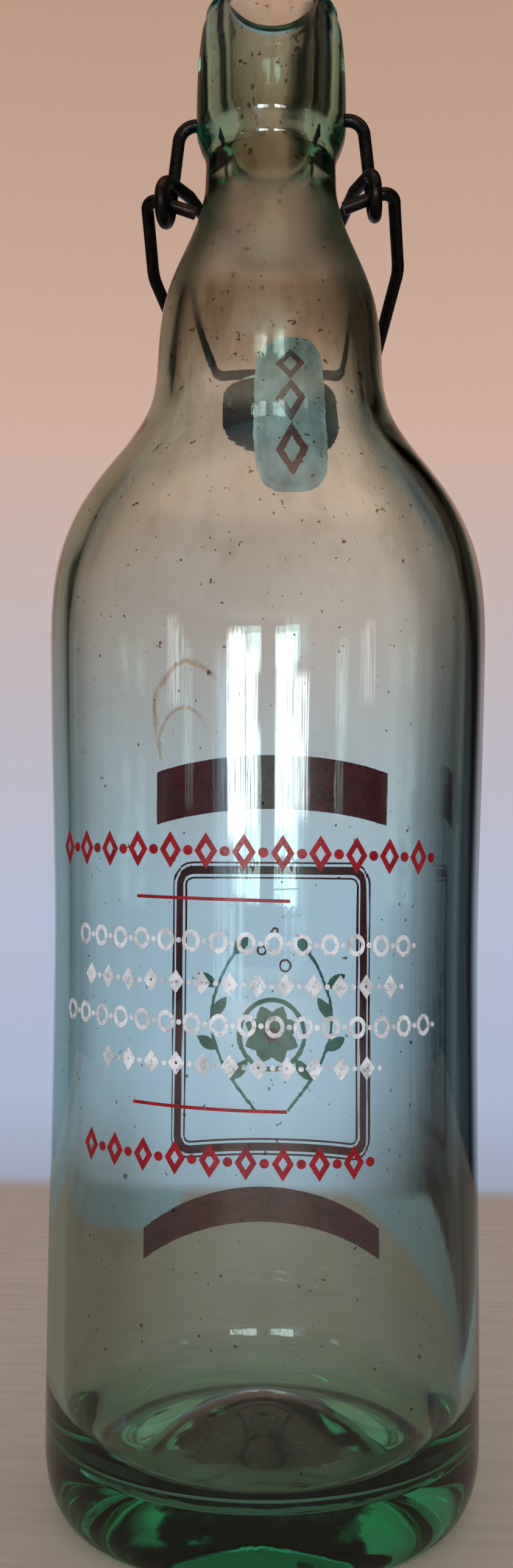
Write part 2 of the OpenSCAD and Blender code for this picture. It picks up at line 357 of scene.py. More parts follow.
def drip(place):
    """Two dried drips on the body's near side: thin broken arches in X and Z."""
    x, y, z = axes(place)
    uneven = times(minus(grain(place, 130, 4), 0.5), 3 * MM)
    total = 0.0
    for middle, height, half_width, half_height in DRIPS:
        dx = sums("DIVIDE", minus(plus(x, uneven), middle), half_width)
        dz = sums("DIVIDE", minus(z, height), half_height)
        line = ramp(gap(distance(dx, dz), 1.0), 0.075, 0.015, 0.0, 0.75)
        line = times(line, ramp(dx, 0.95, 0.3, 0.1, 1.0))
        total = sums("MAXIMUM", total, times(line, ramp(dz, -0.9, 0.1)))
    near = sums("LESS_THAN", y, 0.0)
    broken = ramp(grain(place, 400, 3), 0.35, 0.55, 0.15, 1.0)
    return times(times(total, near), broken)


def enamel_material(name, rgb, wear=0.0):
    """Fired enamel: a glossy film with uneven colour, pinholes and rubbed places."""
    material, shader, place = surface(name)
    cloud = ramp(grain(place, 260, 5), 0.3, 0.7)
    uneven = blend_colours(cloud, opaque([0.62 * c for c in rgb]), opaque(rgb))
    fine = grain(place, 1500, 4)
    give(shader, {"Base Color": uneven, "Roughness": ramp(fine, 0.3, 0.7, 0.22, 0.42)})
    give(shader, {"Specular IOR Level": 0.3})
    bump(shader, fine, 0.25, 0.06 * MM)
    if wear:
        rubbed = ramp(grain(place, 900, 5), 0.38 + 0.14 * wear, 0.34, 1.0, 1.0 - wear)
        give(shader, {"Alpha": rubbed})
    return material


def wire_material(sizes):
    """Old steel wire: nearly black, with brown bloom, fine pits and a worn shine."""
    material, shader, place = surface("oxidised_wire")
    bloom = ramp(grain(place, 330, 6), 0.48, 0.68)
    brown = blend_colours(bloom, opaque(sizes.steel), opaque(sizes.rust))
    pits = grain(place, 1400, 5)
    give(shader, {"Base Color": brown, "Roughness": ramp(pits, 0.35, 0.7, 0.26, 0.5)})
    give(shader, {"Metallic": 0.9})
    bump(shader, pits, 0.35, 0.12 * MM)
    return material


PORCELAIN_STAIN = (0.35, 0.27, 0.18, 1)
RUBBER_DUST = (0.13, 0.1, 0.085, 1)


def porcelain_material(sizes):
    """Glazed porcelain with faint crazing and stain."""
    material, shader, place = surface("glazed_porcelain")
    cells = {"Vector": place, "Scale": 420.0}
    edge = result("ShaderNodeTexVoronoi", cells, "Distance", feature="DISTANCE_TO_EDGE")
    crack = ramp(edge, 0.0, 0.035, 0.35, 0.0)
    stain = ramp(grain(place, 90, 4), 0.5, 0.75, 0.0, 0.4)
    share = sums("MAXIMUM", crack, stain)
    glaze = blend_colours(share, opaque(sizes.porcelain), PORCELAIN_STAIN)
    give(shader, {"Base Color": glaze, "Roughness": 0.14, "Coat Weight": 0.5})
    return material


def rubber_material(sizes):
    """Hardened rubber with dust in its pores."""
    material, shader, place = surface("aged_rubber")
    pores = grain(place, 700, 6)
    dusty = blend_colours(ramp(pores, 0.5, 0.8, 0.0, 0.6), opaque(sizes.rubber), RUBBER_DUST)
    give(shader, {"Base Color": dusty, "Roughness": 0.62})
    bump(shader, pores, 0.5, 0.15 * MM)
    return material


# Each pair is a share of the change in radius and a share of the drop, from the upper place down
LIP = ((0, 0), (0.42, 0.16), (0.75, 0.42), (0.93, 0.7), (1, 1))
COLLAR = ((0, 0), (0.1, 0.22), (0.45, 0.5), (0.9, 0.8), (1, 1))
NECK = ((0, 0), (0.21, 0.27), (0.56, 0.48), (0.84, 0.68), (0.96, 0.87), (1, 1))
SHOULDER = (
    (0, 0), (0.022, 0.12), (0.148, 0.26), (0.415, 0.395),
    (0.672, 0.525), (0.852, 0.66), (0.957, 0.8), (1, 1),
)

# Steps along a stretch of outline and round a corner, and how the outline is evened out
STRETCH_STEPS = 12
CORNER_STEPS = 16
FLOW_STEP = 1.3 * MM
FLOW_ROUNDS = 26

# Rounds of the lip's outer and inner edge, half the height of the collar's band, the height of its foot,
# the slim stretch of neck below it, and how far above that stretch's end the bore begins
LIP_ROUND = 1.6 * MM
MOUTH_ROUND = 1.2 * MM
COLLAR_BAND = 1.6 * MM
COLLAR_FOOT = 8 * MM
SLIM_NECK = 2.9 * MM
BORE_LEAD = 4 * MM

# The inner shoulder's drop as a share of the wall, the floor's width as a share of the inside's, the height
# of its corner as a share of its own, and the share of its dome that is drawn before the corner starts
DROP_SHARE = 0.45
FLOOR_SHARE = 0.78
FLOOR_CORNER_SHARE = 2.1
DOME_SHARE = 0.95

# Sides of the turned meshes, the radius that counts as none, and how the painted base shade lies under the
# base
GLASS_SIDES = 160
BASE_SHADE_SIDES = 96
ON_AXIS = 0.0001 * MM
BASE_SHADE_INSET = 0.4 * MM
BASE_SHADE_LOW = 0.01 * MM
BASE_SHADE_HIGH = 0.06 * MM

# The bend from which an edge is drawn sharp
SHARP_ANGLE = radians(35)


def between(upper, lower, shares):
    """Places between an upper and a lower one, from shares of the change in radius and of the drop."""
    return [
        (upper[0] + s * (lower[0] - upper[0]), upper[1] + t * (lower[1] - upper[1])) for s, t in shares
    ]


def smooth(places):
    """A curve through places, each a radius and a height, that runs straight up at both ends."""
    rises = [(b[0] - a[0]) / (b[1] - a[1]) for a, b in zip(places, places[1:])]
    leans = [0.0]
    for before, after in zip(rises, rises[1:]):
        same_way = before * after > 0
        leans.append(2 * before * after / (before + after) if same_way else 0.0)
    leans.append(0.0)
    curve = []
    for i, (a, b) in enumerate(zip(places, places[1:])):
        h = b[1] - a[1]
        for k in range(STRETCH_STEPS):
            t = k / STRETCH_STEPS
            cube, square = t**3, t**2
            radius = (2 * cube - 3 * square + 1) * a[0] + (cube - 2 * square + t) * h * leans[i]
            radius += (3 * square - 2 * cube) * b[0] + (cube - square) * h * leans[i + 1]
            curve.append((radius, a[1] + t * h))
    return curve


def evened(places):
    """The smooth curve through places at even heights, with its bends spread so that no bands show."""
    rough = smooth(places) + [places[-1]]
    drop = places[-1][1] - places[0][1]
    steps = ceil(abs(drop) / FLOW_STEP)
    heights = [places[0][1] + drop * k / steps for k in range(steps + 1)]
    radii = []
    at = 0
    for height in heights:
        while at < len(rough) - 2 and (height - rough[at + 1][1]) * drop > 0:
            at += 1
        low, high = rough[at], rough[at + 1]
        radii.append(low[0] + (high[0] - low[0]) * (height - low[1]) / (high[1] - low[1]))
    once = spread(radii)
    twice = spread(once)
    return [(2 * a - b, height) for a, b, height in zip(once, twice, heights)][:-1]


def spread(radii):
    """Radii that take on their neighbours' mean again and again, as if mirrored at both ends."""
    for _ in range(FLOW_ROUNDS):
        wider = [radii[1]] + radii + [radii[-2]]
        radii = [(a + 2 * b + c) / 4 for a, b, c in zip(wider, wider[1:], wider[2:])]
    return radii


def arc(centre, across, along, start, end, steps=CORNER_STEPS):
    """An arc of an ellipse round a centre, from one angle in degrees to another."""
    turns = [radians(start + (end - start) * k / steps) for k in range(steps + 1)]
    return [(centre[0] + across * cos(a), centre[1] + along * sin(a)) for a in turns]


def dome(rim, height, rise, start, end):
    """A dome that is level at its rim and its top."""
    radii = [rim * (start + (end - start) * k / CORNER_STEPS) for k in range(CORNER_STEPS + 1)]
    return [(r, height + rise * (1 + cos(pi * r / rim)) / 2) for r in radii]


def glass_outline(s):
    """The inside from the floor's middle to the mouth, then the outside down to the push-up's middle."""
    collar_end = pivot.z - COLLAR_BAND - COLLAR_FOOT
    neck_z = collar_end - SLIM_NECK
    body, waist, foot, bulb = s.body / 2, s.waist / 2, s.foot / 2, s.bulb / 2
    neck, collar, lip, bore, ring = s.neck / 2, s.collar / 2, s.lip / 2, s.bore / 2, s.ring / 2
    drop = DROP_SHARE * s.wall
    in_bulb = (bulb - s.bulb_wall, s.bulb_height - drop / 2)
    in_body = (body - s.wall, s.shoulder_height - drop)
    in_foot = foot - s.wall
    floor_radius = FLOOR_SHARE * in_foot
    floor_corner = FLOOR_CORNER_SHARE * s.floor
    bore_end = (bore, neck_z + BORE_LEAD)
    inside = dome(floor_radius, s.floor, s.floor_rise, 0, DOME_SHARE)
    inside += arc((floor_radius, floor_corner), in_foot - floor_radius, floor_corner - s.floor, -90, -9)
    body_places = [(in_foot, floor_corner), (waist - s.wall, s.waist_height)]
    neck_places = between(in_bulb, in_body, SHOULDER)[::-1] + between(bore_end, in_bulb, NECK)[-2::-1]
    inside += evened(body_places + neck_places) + [bore_end]
    inside += arc((bore + MOUTH_ROUND, glass_top - MOUTH_ROUND), MOUTH_ROUND, MOUTH_ROUND, 180, 90)
    outside = arc((lip - LIP_ROUND, glass_top - LIP_ROUND), LIP_ROUND, LIP_ROUND, 90, 9)
    outside += smooth(between((lip, glass_top - LIP_ROUND), (collar, pivot.z + COLLAR_BAND), LIP))
    outside += [(collar, pivot.z + COLLAR_BAND)]
    outside += smooth(between((collar, pivot.z - COLLAR_BAND), (neck, collar_end), COLLAR))
    outside += [(neck, collar_end)]
    neck_places = between((neck, neck_z), (bulb, s.bulb_height), NECK)[:-1]
    neck_places += between((bulb, s.bulb_height), (body, s.shoulder_height), SHOULDER)
    outside += evened(neck_places + [(waist, s.waist_height), (foot, s.heel)])
    outside += arc((ring, s.heel), foot - ring, s.heel, 0, -90)
    outside += dome(ring - s.ring_width, 0, s.pushup, 1, 0)
    return inside + outside


def revolved(name, outline, sides):
    """A closed mesh turned round Z from an outline that starts and ends on the axis."""
    mesh = bmesh.new()
    rings = []
    for radius, height in outline:
        if radius < ON_AXIS:
            rings.append([mesh.verts.new((0, 0, height))])
            continue
        turns = [2 * pi * k / sides for k in range(sides)]
        rings.append([mesh.verts.new((radius * cos(a), radius * sin(a), height)) for a in turns])
    for low, high in zip(rings, rings[1:]):
        for k in range(sides):
            n = (k + 1) % sides
            ring = [low[k % len(low)], low[n % len(low)], high[n % len(high)], high[k % len(high)]]
            mesh.faces.new(list(dict.fromkeys(ring)))
    bmesh.ops.recalc_face_normals(mesh, faces=mesh.faces)
    return placed_mesh(name, mesh)


def placed_mesh(name, mesh):
    """An object that holds a finished bmesh, smooth but for its sharp edges."""
    data = bpy.data.meshes.new(name)
    mesh.to_mesh(data)
    mesh.free()
    piece = bpy.data.objects.new(name, data)
    bpy.context.scene.collection.objects.link(piece)
    soften(piece)
    return piece


def soften(piece):
    """Shades a piece smooth and keeps its sharp edges."""
    piece.data.shade_smooth()
    piece.data.set_sharp_from_angle(angle=SHARP_ANGLE)


def dress(piece, material):
    """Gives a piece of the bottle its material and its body."""
    piece.data.materials.clear()
    piece.data.materials.append(material)
    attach(piece, "bottle")


def finish_node(name, material):
    """Gives a carried-over CAD node its material."""
    for slot in frame["nodes"][name].material_slots:
        slot.material = material


# How far from the axis the rays start that lay a print on the glass, the distance under which a print's
# corners are merged before and after that, and the seed of its uneven places
RAY_START = 0.1
FLAT_MERGE = 0.005 * MM
LAID_MERGE = 0.001 * MM
PRINT_SEED = 7


def row_of_copies(given):
    """The motif's copies in a row, each a little out of place."""
    first = times(minus(given["Count"], 1.0), -0.5)
    row = {"Count": given["Count"], "Start Location": vector(X=times(first, given["Pitch"]))}
    line = result("GeometryNodeMeshLine", {**row, "Offset": vector(X=given["Pitch"])})
    uneven = vector(X=given["Jitter"], Z=given["Jitter"])
    limits = {0: scaled(uneven, -1.0), 1: uneven, "Seed": given["Seed"]}
    shift = result("FunctionNodeRandomValue", limits, data_type="FLOAT_VECTOR")
    moved = result("GeometryNodeSetPosition", {"Geometry": line, "Offset": shift})
    copies = result("GeometryNodeInstanceOnPoints", {"Points": moved, "Instance": given["Geometry"]})
    return result("GeometryNodeRealizeInstances", {"Geometry": copies})


def laid_on_glass(given, flat):
    """The flat row pressed onto the glass from outside, with its root a little under the surface."""
    x, _, z = axes(node(flat.id_data, "GeometryNodeInputPosition").outputs[0])
    turn = plus(sums("DIVIDE", x, given["Radius"]), given["Facing"])
    sine, cosine = sums("SINE", turn), sums("COSINE", turn)
    rise = plus(plus(z, given["Height"]), times(x, given["Tilt"]))
    source = vector(X=times(sine, RAY_START), Y=times(cosine, -RAY_START), Z=rise)
    ray = {"Source Position": source, "Ray Direction": vector(X=times(sine, -1.0), Y=cosine)}
    glass = result("GeometryNodeObjectInfo", {"Object": given["Glass"]}, "Geometry")
    ray.update({"Target Geometry": glass, "Ray Length": 2 * RAY_START})
    cast = node(flat.id_data, "GeometryNodeRaycast", ray).outputs
    under = scaled(cast["Hit Normal"], times(given["Sink"], -1.0))
    root = result("ShaderNodeVectorMath", {0: cast["Hit Position"], 1: under}, operation="ADD")
    return result("GeometryNodeSetPosition", {"Geometry": flat, "Position": root})


def print_tree():
    """Geometry nodes that repeat a flat motif in a row, lay the row on the glass and give it a thickness."""
    tree = bpy.data.node_groups.new("print_on_glass", "GeometryNodeTree")
    named = {
        "Geometry": "Geometry", "Count": "Int", "Pitch": "Float", "Glass": "Object", "Radius": "Float",
        "Facing": "Float", "Tilt": "Float", "Height": "Float", "Film": "Float", "Sink": "Float",
        "Jitter": "Float", "Seed": "Int", "Material": "Material",
    }
    for name, kind in named.items():
        tree.interface.new_socket(name=name, in_out="INPUT", socket_type="NodeSocket" + kind)
    tree.interface.new_socket(name="Geometry", in_out="OUTPUT", socket_type="NodeSocketGeometry")
    given = node(tree, "NodeGroupInput").outputs
    laid = laid_on_glass(given, row_of_copies(given))
    raising = {"Mesh": laid, "Offset Scale": given["Film"], "Individual": False}
    raised = result("GeometryNodeExtrudeMesh", raising, mode="FACES")
    base = result("GeometryNodeFlipFaces", {"Mesh": laid})
    whole = node(tree, "GeometryNodeJoinGeometry")
    for part in (raised, base):
        give(whole, {0: part})
    merging = {"Geometry": whole.outputs[0], "Distance": LAID_MERGE}
    closed = result("GeometryNodeMergeByDistance", merging)
    inked = result("GeometryNodeSetMaterial", {"Geometry": closed, "Material": given["Material"]})
    node(tree, "NodeGroupOutput", {"Geometry": inked})
    return tree


def printed(
    name, motif, material, facing, height, count=1, pitch=0.0, film=1.0, sink=1.0, tilt=0.0, jitter=0.0
):
    """A print on the glass: a flat motif, drawn in X and Z, repeated in a row and laid on the surface."""
    ended(motif)
    s = bpy.context.scene.soda_prints
    flat = bpy.data.objects.new(name + "_flat", bpy.data.meshes.new(name))
    motif.to_mesh(flat.data)
    motif.free()
    bpy.context.scene.collection.objects.link(flat)
    tree = bpy.data.node_groups.get("print_on_glass") or print_tree()
    glass = bpy.data.objects["glass_bottle"]
    values = {
        "Count": count, "Pitch": pitch, "Glass": glass, "Radius": bpy.context.scene.soda_glass.waist / 2,
        "Facing": facing, "Tilt": tilt, "Height": height, "Film": s.film * film,
        "Sink": s.sink * sink, "Jitter": jitter, "Seed": PRINT_SEED, "Material": material,
    }
    modifier = flat.modifiers.new("lay", "NODES")
    modifier.node_group = tree
    for item in tree.interface.items_tree:
        if item.in_out == "INPUT" and item.name in values:
            modifier[item.identifier] = values[item.name]
    seen = flat.evaluated_get(bpy.context.evaluated_depsgraph_get())
    data = bpy.data.meshes.new_from_object(seen)
    data.name = name
    piece = bpy.data.objects.new(name, data)
    bpy.context.scene.collection.objects.link(piece)
    bpy.data.objects.remove(flat)
    soften(piece)
    dress(piece, material)


# The longest edge of a print's faces before they are laid on the glass, the steps round a frame's corner
# and the least radius of its inner corner
FINEST = 1.2 * MM
FRAME_STEPS = 8
LEAST_ROUND = 0.2 * MM


def cuts_between(a, b):
    """How many stretches the line between two places is cut into."""
    return max(1, ceil(dist(a, b) / FINEST))


def part_way(a, b, share):
    """The place at a share of the way from one place to another."""
    return a[0] + (b[0] - a[0]) * share, a[1] + (b[1] - a[1]) * share


def strip(mesh, left, right):
    """Faces between two rows of places in X and Z, split so finely that they follow the glass."""
    cuts = max(cuts_between(a, b) for a, b in zip(left, right))
    grid = []
    for a, b in zip(left, right):
        places = [part_way(a, b, k / cuts) for k in range(cuts + 1)]
        grid.append([mesh.verts.new((x, 0, z)) for x, z in places])
    for a, b in zip(grid, grid[1:]):
        for k in range(cuts):
            mesh.faces.new((a[k], b[k], b[k + 1], a[k + 1]))


def along(points):
    """A line of places split at the finest spacing."""
    fine = []
    for a, b in zip(points, points[1:]):
        cuts = cuts_between(a, b)
        fine += [part_way(a, b, k / cuts) for k in range(cuts)]
    return fine + points[-1:]


def ended(mesh):
    """Merges a flat motif's shared places and turns its faces to the front."""
    bmesh.ops.remove_doubles(mesh, verts=mesh.verts, dist=FLAT_MERGE)
    for face in mesh.faces:
        if face.normal.y > 0:
            face.normal_flip()
    mesh.normal_update()


def ring_shape(mesh, x, z, radius, inner, sides, squeeze=1.0):
    """A ring, or a disc where inner is zero."""
    outer = arc((x, z), squeeze * radius, radius, 0, 360, sides)
    strip(mesh, outer, arc((x, z), squeeze * inner, inner, 0, 360, sides))


def lozenge_shape(mesh, x, z, width, height, stroke):
    """An upright lozenge drawn as an outline, or filled where stroke is its half width or more."""
    w, h = width / 2, height / 2
    share = max(0.0, 1 - stroke / w)
    outer = along([(x + a, z + b) for a, b in ((w, 0), (0, h), (-w, 0), (0, -h), (w, 0))])
    strip(mesh, outer, [part_way((x, z), place, share) for place in outer])


def bar_shape(mesh, width, height):
    """A bar with square ends."""
    right, high = width / 2, height / 2
    strip(mesh, along([(-right, -high), (right, -high)]), along([(-right, high), (right, high)]))


def arch_shape(mesh, width, height, rise, taper):
    """A band whose middle stands higher than its ends, slimmer at the ends where taper is under one."""
    low, high = [], []
    steps = max(8, ceil(width / FINEST))
    for k in range(steps + 1):
        share = 2 * k / steps - 1
        half = height / 2 * (taper + (1 - taper) * (1 - share**2))
        middle = rise * (1 - share**2)
        low.append((share * width / 2, middle - half))
        high.append((share * width / 2, middle + half))
    strip(mesh, low, high)


def leaf_shape(mesh, x, z, size, turn, fatness):
    """A pointed leaf that grows from a place in a direction in degrees."""
    steps = max(6, ceil(size / FINEST))
    c, s = cos(radians(turn)), sin(radians(turn))
    left, right = [], []
    for k in range(steps + 1):
        t = k / steps
        half = fatness * size * sin(pi * t) ** 0.8 / 2 + 0.02 * size
        left.append((x + size * t * c - half * s, z + size * t * s + half * c))
        right.append((x + size * t * c + half * s, z + size * t * s - half * c))
    strip(mesh, left, right)


def stem_shape(mesh, points, width):
    """A line of a set width through places."""
    fine = along(points)
    left, right = [], []
    for i, (x, z) in enumerate(fine):
        a, b = fine[max(0, i - 1)], fine[min(len(fine) - 1, i + 1)]
        run = dist(a, b)
        nx, nz = -(b[1] - a[1]) / run * width / 2, (b[0] - a[0]) / run * width / 2
        left.append((x + nx, z + nz))
        right.append((x - nx, z - nz))
    strip(mesh, left, right)


def round_box(width, height, radius):
    """A closed line round a box with rounded corners."""
    places = []
    for start, right, up in ((0, 1, 1), (90, -1, 1), (180, -1, -1), (270, 1, -1)):
        centre = (right * (width / 2 - radius), up * (height / 2 - radius))
        places += arc(centre, radius, radius, start, start + 90, FRAME_STEPS)
    return places + places[:1]


def frame_shape(mesh, width, height, stroke, radius):
    """A frame with rounded corners."""
    outer = round_box(width, height, radius)
    within = round_box(width - 2 * stroke, height - 2 * stroke, max(radius - stroke, LEAST_ROUND))
    fine_outer, fine_within = [], []
    for a, b, c, d in zip(outer, outer[1:], within, within[1:]):
        cuts = cuts_between(a, b)
        fine_outer += [part_way(a, b, k / cuts) for k in range(cuts)]
        fine_within += [part_way(c, d, k / cuts) for k in range(cuts)]
    strip(mesh, fine_outer + outer[-1:], fine_within + within[-1:])


class SodaStep:
    """What every operator of this file shares."""

    bl_options = {"REGISTER", "UNDO"}


class SODA_OT_glass(SodaStep, bpy.types.Operator):
    """Turn the glass bottle from its outline and lay a sheet of painted shade under its base"""

    bl_idname = "soda.glass"
    bl_label = "Glass bottle"

    def execute(self, context):
        sizes = context.scene.soda_glass
        glass = revolved("glass_bottle", glass_outline(sizes), GLASS_SIDES)
        dress(glass, glass_material(sizes))
        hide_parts("bottle")
        ring = sizes.ring / 2
        skin = dome(ring - sizes.ring_width, 0, sizes.pushup, 0, 1) + [(ring - BASE_SHADE_INSET, 0)]
        inner = [(radius, height + BASE_SHADE_HIGH) for radius, height in skin]
        outer = [(radius, height + BASE_SHADE_LOW) for radius, height in skin]
        base_shade = revolved("base_grime", inner + outer[::-1], BASE_SHADE_SIDES)
        dress(base_shade, base_shade_material(sizes))
        return {"FINISHED"}


# Each large row and rule: its name, its turn in degrees and its height; then, for a row, its count of
# motifs, their pitch and their height, and for a rule, its width
LARGE_ROWS = (
    ("title_row", -4.8, 131.7 * MM, 12, 6.8 * MM, 6.5 * MM),
    ("footer_row", -8.0, 77 * MM, 9, 6.5 * MM, 6.1 * MM),
)
RULES = (("upper_rule", -8.4, 123.3 * MM, 28.7 * MM), ("lower_rule", -9.0, 86.2 * MM, 28.9 * MM))
RULE_HEIGHT = 0.6 * MM

# Each small row's turn in degrees, its height and its count of motifs
SMALL_ROWS = ((-1.7, 115.6 * MM, 14), (-2.3, 108.2 * MM, 13), (-1.4, 101 * MM, 16), (-2.0, 93.7 * MM, 11))
SMALL_PITCH = 5 * MM


class SODA_OT_near_print(SodaStep, bpy.types.Operator):
    """Print the red and white rows on the near side"""

    bl_idname = "soda.near_print"
    bl_label = "Near print"

    def execute(self, context):
        s = context.scene.soda_prints
        red = enamel_material("red_enamel", s.red)
        white = enamel_material("white_enamel", s.white, wear=0.55)
        for name, turn, height, count, pitch, size in LARGE_ROWS:
            motif = bmesh.new()
            lozenge_shape(motif, 0, 0, 0.64 * size, size, 1.15 * MM)
            ring_shape(motif, pitch / 2, 0, 0.14 * size, 0, 16)
            printed(name, motif, red, radians(turn), height, count, pitch, tilt=s.tilt, jitter=0.08 * MM)
        for name, turn, height, width in RULES:
            motif = bmesh.new()
            bar_shape(motif, width, RULE_HEIGHT)
            printed(name, motif, red, radians(turn), height, tilt=s.tilt)
        for i, (turn, height, count) in enumerate(SMALL_ROWS):
            name = "white_row_%d" % (i + 1)
            motif = bmesh.new()
            if i % 2:
                lozenge_shape(motif, -0.95 * MM, 0, 3.2 * MM, 4.3 * MM, 1.3 * MM)
            else:
                ring_shape(motif, -0.95 * MM, 0, 2 * MM, 1.15 * MM, 24, 0.86)
            ring_shape(motif, 1.6 * MM, 0, 0.5 * MM, 0, 12)
            row = {"count": count, "pitch": SMALL_PITCH, "tilt": s.tilt, "jitter": 0.1 * MM}
            printed(name, motif, white, radians(turn), height, **row)
        return {"FINISHED"}


# Heights of the far prints' middles, and their turns from the far side
UPPER_BAND_HEIGHT = 143.6 * MM
LOWER_BAND_HEIGHT = 43.4 * MM
PANEL_HEIGHT = 95.4 * MM
PATCH_HEIGHT = 228.4 * MM
PANEL_TURN = radians(2.8)
LOWER_BAND_TURN = radians(6)
PATCH_TURN = radians(-8)

# Each line of the frame: its name, its inset and its stroke
FRAME_LINES = (
    ("frame_outer", 0, 0.45 * MM), ("frame_line", 1 * MM, 1.9 * MM), ("frame_inner", 3.5 * MM, 0.45 * MM),
)
FRAME_ROUND = 5.5 * MM

# Each bubble's place in X and Z and its radius
BUBBLES = ((-3.2 * MM, 16 * MM, 1.6 * MM), (2.6 * MM, 19.5 * MM, 1.2 * MM), (-0.6 * MM, 24 * MM, 0.9 * MM))


def slice_motif():
    """A round slice of fruit with eight segments."""
    motif = bmesh.new()
    ring_shape(motif, 0, 0, 8.6 * MM, 7.5 * MM, 48)
    for k in range(8):
        leaf_shape(motif, 0, 0, 7 * MM, 22.5 + 45 * k, 0.62)
    return motif


def sprig_motif():
    """Two bowed stems with leaves to both sides."""
    motif = bmesh.new()
    bow = [2 + 13 * sin(pi * t / 20) for t in range(1, 18)]
    for side in (-1, 1):
        stem = [(side * x * MM, (2.4 * t - 24) * MM) for t, x in enumerate(bow, 1)]
        stem_shape(motif, stem, 0.7 * MM)
        for k, (x, z) in enumerate(stem[3::3]):
            leaf_shape(motif, x, z, 6 * MM, 90 - side * (58 if k % 2 else -38), 0.42)
    return motif


def bubble_motif():
    """A bead with three small rings above it."""
    motif = bmesh.new()
    ring_shape(motif, 0, 0, 1.7 * MM, 0, 24)
    for x, z, radius in BUBBLES:
        ring_shape(motif, x, z, radius, radius - 0.5 * MM, 24)
    return motif


class SODA_OT_far_print(SodaStep, bpy.types.Operator):
    """Print the bands, the framed panel and its plant ornament on the far side"""

    bl_idname = "soda.far_print"
    bl_label = "Far print"

    def execute(self, context):
        s = context.scene.soda_prints
        maroon = enamel_material("maroon_enamel", s.maroon)
        sage = enamel_material("sage_enamel", s.sage)
        middle = pi + PANEL_TURN
        band = bmesh.new()
        arch_shape(band, s.band_width, s.band, 4.4 * MM, 0.94)
        printed("upper_band", band, maroon, middle, UPPER_BAND_HEIGHT)
        low = bmesh.new()
        arch_shape(low, 61 * MM, 8.2 * MM, 6.5 * MM, 0.85)
        printed("lower_band", low, maroon, pi + LOWER_BAND_TURN, LOWER_BAND_HEIGHT)
        for name, inset, stroke in FRAME_LINES:
            line = bmesh.new()
            width, height = s.panel_width - 2 * inset, s.panel_height - 2 * inset
            frame_shape(line, width, height, stroke, FRAME_ROUND - inset)
            printed(name, line, maroon, middle, PANEL_HEIGHT)
        ornament = PANEL_HEIGHT - 6 * MM
        printed("citrus_slice", slice_motif(), sage, middle, ornament)
        printed("leaf_sprigs", sprig_motif(), sage, middle, PANEL_HEIGHT - 2 * MM)
        printed("bubbles", bubble_motif(), maroon, middle, ornament, film=1.6, sink=1.6)
        return {"FINISHED"}


def patch_edges(wide):
    """The lower and upper edge of the patch, a round-cornered oblong drawn wider for the slimmer bulb."""
    half_w, half_h, power, steps = 8.9 * MM * wide, 14.8 * MM, 3.2, 30
    low, high = [], []
    for k in range(steps + 1):
        x = half_w * sin(pi * (k / steps - 0.5))
        z = half_h * max(0.02, 1 - abs(x / half_w) ** power) ** (1 / power)
        low.append((x, -z))
        high.append((x, z))
    return low, high


class SODA_OT_neck_patch(SodaStep, bpy.types.Operator):
    """Print the pale patch on the far side of the neck, with a paler rim as a painted highlight"""

    bl_idname = "soda.neck_patch"
    bl_label = "Neck patch"

    def execute(self, context):
        s = context.scene.soda_prints
        facing = pi + PATCH_TURN
        wide = context.scene.soda_glass.waist / context.scene.soda_glass.bulb
        low, high = patch_edges(wide)
        patch = bmesh.new()
        strip(patch, low, high)
        pale = enamel_material("pale_enamel", s.pale)
        printed("neck_patch", patch, pale, facing, PATCH_HEIGHT)
        # A paler rim round the patch: a painted highlight along its edge
        rim = bmesh.new()
        outer = low + high[::-1] + low[:1]
        strip(rim, [(0.91 * x, 0.94 * z) for x, z in outer], outer)
        highlight_enamel = enamel_material("painted_highlight_enamel", [1.3 * c for c in s.pale])
        printed("neck_patch_rim", rim, highlight_enamel, facing, PATCH_HEIGHT, film=1.4, sink=1.5)
        marks = bmesh.new()
        for z in (-8 * MM, 0, 8 * MM):
            lozenge_shape(marks, 0, z, 7.5 * MM * wide, 8 * MM, 1.9 * MM * wide)
        maroon = bpy.data.materials["maroon_enamel"]
        printed("neck_marks", marks, maroon, facing, PATCH_HEIGHT, film=1.6, sink=1.8)
        return {"FINISHED"}


class SODA_OT_closure(SodaStep, bpy.types.Operator):
    """Give the wires, the stopper and the gasket their finishes"""

    bl_idname = "soda.closure"
    bl_label = "Closure"

    def execute(self, context):
        s = context.scene.soda_closure
        wire = wire_material(s)
        for name in ("lever_wire", "bail_wire"):
            finish_node(name, wire)
        finish_node("stopper", porcelain_material(s))
        finish_node("gasket", rubber_material(s))
        return {"FINISHED"}


# The table's half width, the distance from the axis to its front edge, and its thickness
TABLE_HALF = 0.75
TABLE_FRONT = 1.2
TABLE_THICKNESS = 30 * MM

# The table's painted reflection and painted shade, which only the glass shows
TABLE_PAINTED_REFLECTION = (0.34, 0.46, 0.59, 1)
TABLE_PAINTED_SHADE = (0.02, 0.03, 0.03, 1)

